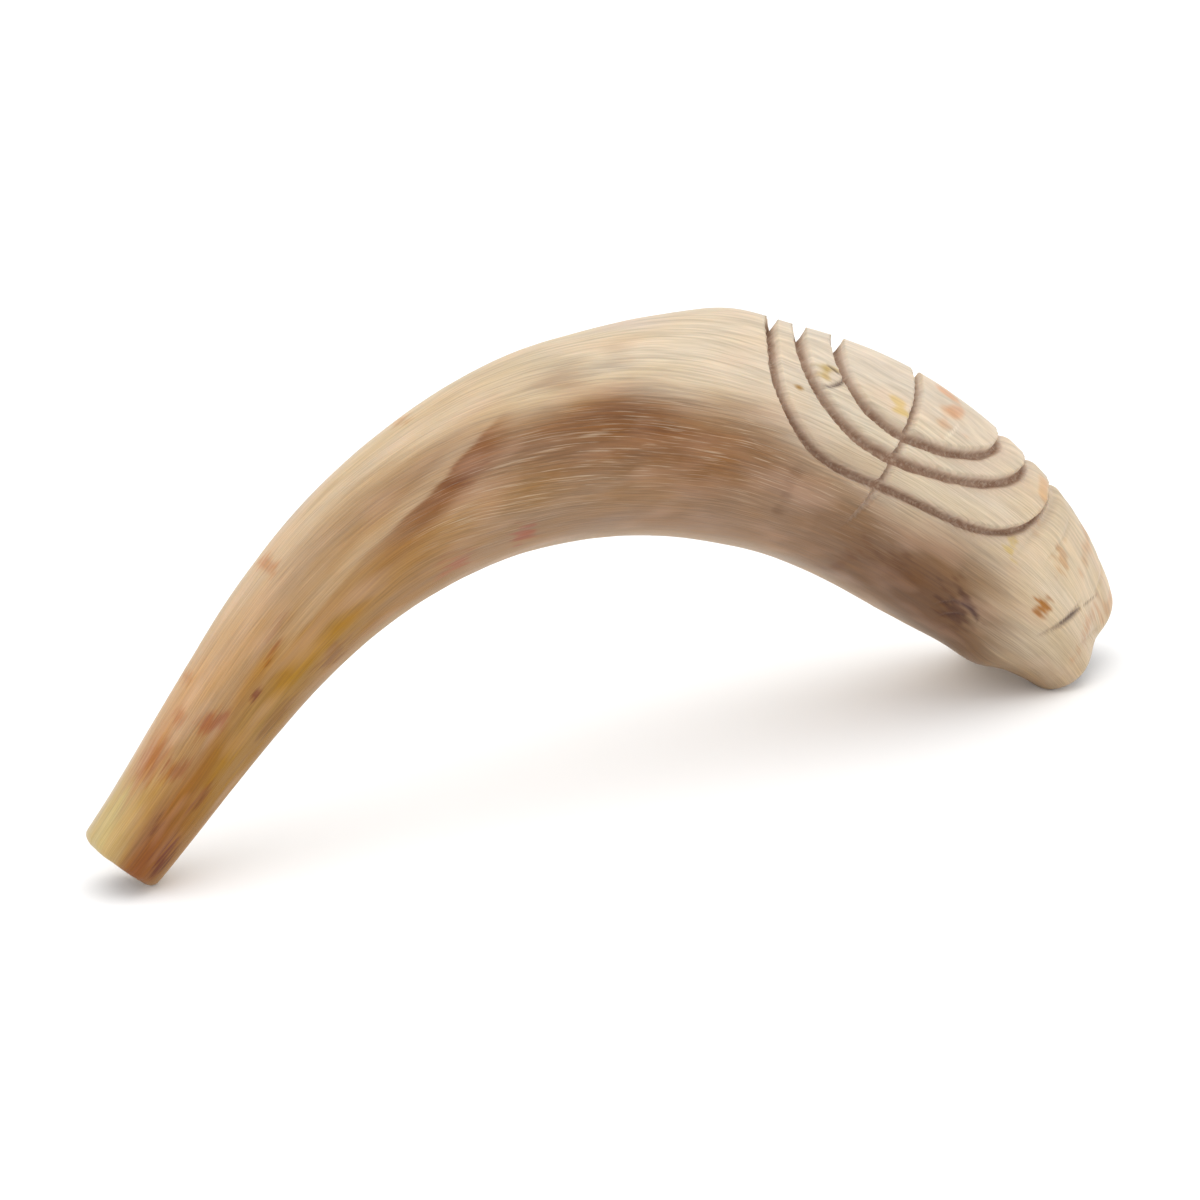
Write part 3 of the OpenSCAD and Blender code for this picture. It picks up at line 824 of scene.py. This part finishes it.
def camera_frame(settings):
    """Line of sight, right and up of the camera."""
    azimuth, elevation, tilt = settings.camera_azimuth, settings.camera_elevation, settings.camera_tilt
    back = Vector((math.sin(azimuth) * math.cos(elevation), -math.cos(azimuth) * math.cos(elevation),
                   math.sin(elevation)))
    level = Vector((math.cos(azimuth), math.sin(azimuth), 0))
    upright = back.cross(level)
    right = level * math.cos(tilt) - upright * math.sin(tilt)
    return back, right, back.cross(right)


class SHOFAR_OT_stage(bpy.types.Operator):
    """Makes the floor, the soft light and the camera."""

    bl_idname = "shofar.stage"
    bl_label = "Make the stage"

    def execute(self, context):
        settings = context.scene.shofar_stage
        middle = (CAD_LOW + CAD_HIGH) / 2
        mesh = bpy.data.meshes.new("floor")
        half = 6.0
        corners = [(-half, -half, 0), (half, -half, 0), (half, half, 0), (-half, half, 0)]
        mesh.from_pydata(corners, [], [(0, 1, 2, 3)])
        floor = bpy.data.objects.new("floor", mesh)
        context.collection.objects.link(floor)
        material = bpy.data.materials.new("matt_white_card")
        material.use_nodes = True
        shader = material.node_tree.nodes["Principled BSDF"]
        shader.inputs["Base Color"].default_value = (*settings.floor_colour, 1)
        shader.inputs["Roughness"].default_value = 0.9
        shader.inputs["Specular IOR Level"].default_value = 0.1
        mesh.materials.append(material)

        world = bpy.data.worlds.new("studio")
        context.scene.world = world
        world.use_nodes = True
        world.node_tree.nodes["Background"].inputs["Color"].default_value = (1, 1, 1, 1)
        world.node_tree.nodes["Background"].inputs["Strength"].default_value = 1.16

        lamp = bpy.data.lights.new("overhead_softbox", "AREA")
        lamp.shape = "RECTANGLE"
        lamp.size, lamp.size_y = 1.6, 1.2
        lamp.energy = 6
        softbox = bpy.data.objects.new("overhead_softbox", lamp)
        softbox.location = middle + Vector((-0.1, -0.25, 1.3))
        softbox.rotation_euler = (softbox.location - middle).to_track_quat("Z", "Y").to_euler()
        context.collection.objects.link(softbox)

        camera_data = bpy.data.cameras.new("camera")
        camera_data.lens = settings.lens
        camera_data.sensor_width = 36.0
        camera = bpy.data.objects.new("camera", camera_data)
        back, right, up = camera_frame(settings)
        target = middle + Vector((-0.00816, -0.00009, -0.01208))
        place = target + back * settings.camera_distance
        camera.matrix_world = Matrix((
            (right.x, up.x, back.x, place.x), (right.y, up.y, back.y, place.y),
            (right.z, up.z, back.z, place.z), (0, 0, 0, 1)))
        context.collection.objects.link(camera)
        context.scene.camera = camera
        context.scene.view_settings.view_transform = "Standard"
        return {"FINISHED"}


class SHOFAR_PT_panel(bpy.types.Panel):
    """Lists the makers of the shofar and their settings."""

    bl_idname = "SHOFAR_PT_panel"
    bl_label = "Shofar"
    bl_space_type = "VIEW_3D"
    bl_region_type = "UI"
    bl_category = "Shofar"

    def draw(self, context):
        for operator, settings in ((SHOFAR_OT_horn, context.scene.shofar_horn),
                                   (SHOFAR_OT_stage, context.scene.shofar_stage)):
            self.layout.operator(operator.bl_idname)
            for name in settings.bl_rna.properties.keys():
                if name not in ("rna_type", "name"):
                    self.layout.prop(settings, name)


CLASSES = (HornSettings, StageSettings, SHOFAR_OT_horn, SHOFAR_OT_stage, SHOFAR_PT_panel)


def register():
    for cls in CLASSES:
        bpy.utils.register_class(cls)
    bpy.types.Scene.shofar_horn = bpy.props.PointerProperty(type=HornSettings)
    bpy.types.Scene.shofar_stage = bpy.props.PointerProperty(type=StageSettings)


def unregister():
    del bpy.types.Scene.shofar_stage
    del bpy.types.Scene.shofar_horn
    for cls in reversed(CLASSES):
        bpy.utils.unregister_class(cls)


def main():
    register()
    bpy.ops.shofar.stage()
    bpy.ops.shofar.horn()


if __name__ == "__main__":
    main()
